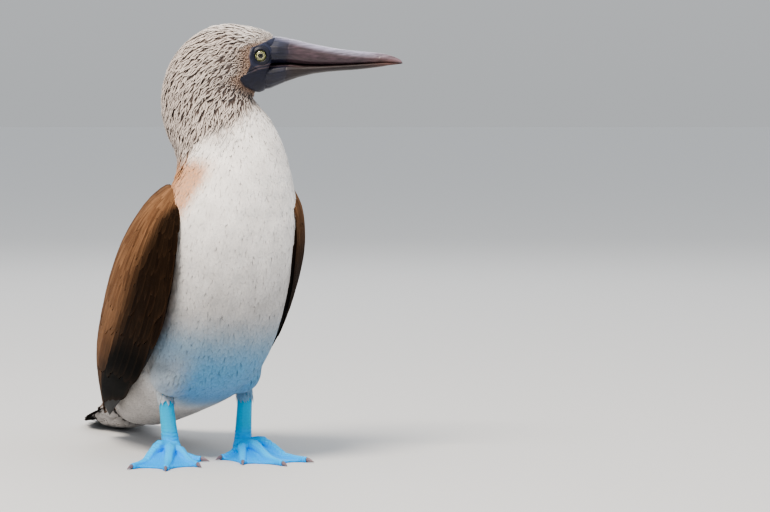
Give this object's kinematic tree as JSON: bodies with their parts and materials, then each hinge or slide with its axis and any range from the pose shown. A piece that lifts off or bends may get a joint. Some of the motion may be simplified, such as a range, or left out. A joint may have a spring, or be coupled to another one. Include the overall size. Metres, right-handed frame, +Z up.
{
  "type": "blue footed booby",
  "caption": "Life-size still model of a standing blue-footed booby with its head turned to its left, folded wings, long tail and webbed feet.",
  "frame": {"origin": "on the floor, at the middle of the box round the whole bird", "axes": "+Z up, the body and feet face -Y, the bird's left side is +X, and the head looks towards its left"},
  "size_m": [0.2324, 0.4232, 0.3678],
  "materials": {
    "body_feather": "soft white body feathers, blue-tinted low on the belly",
    "neck_feather": "pale neck feathers with dark brown streaks",
    "head_feather": "narrow pale head feathers with dark brown streaks",
    "bill_horn": "smooth grey horn with a slight gloss",
    "eye": "wet pale yellow eye",
    "wing_feather": "brown flight feathers and coverts",
    "tail_feather": "dark brown tail feathers",
    "leg_skin": "turquoise scaled skin",
    "foot_skin": "bright blue scaled skin and webs",
    "claw_horn": "grey claw horn"
  },
  "bodies": {
    "root": {"bill_lower": "bill_horn", "bill_upper": "bill_horn", "claw_left_back": "claw_horn", "claw_left_inner": "claw_horn", "claw_left_middle": "claw_horn", "claw_left_outer": "claw_horn", "claw_right_back": "claw_horn", "claw_right_inner": "claw_horn", "claw_right_middle": "claw_horn", "claw_right_outer": "claw_horn", "eye_left": "eye", "eye_right": "eye", "foot_left": "foot_skin", "foot_right": "foot_skin", "head": "head_feather", "neck": "neck_feather", "tail": "tail_feather", "tarsus_left": "leg_skin", "tarsus_right": "leg_skin", "torso": "body_feather", "wing_left": "wing_feather", "wing_right": "wing_feather"}
  },
  "joints": []
}
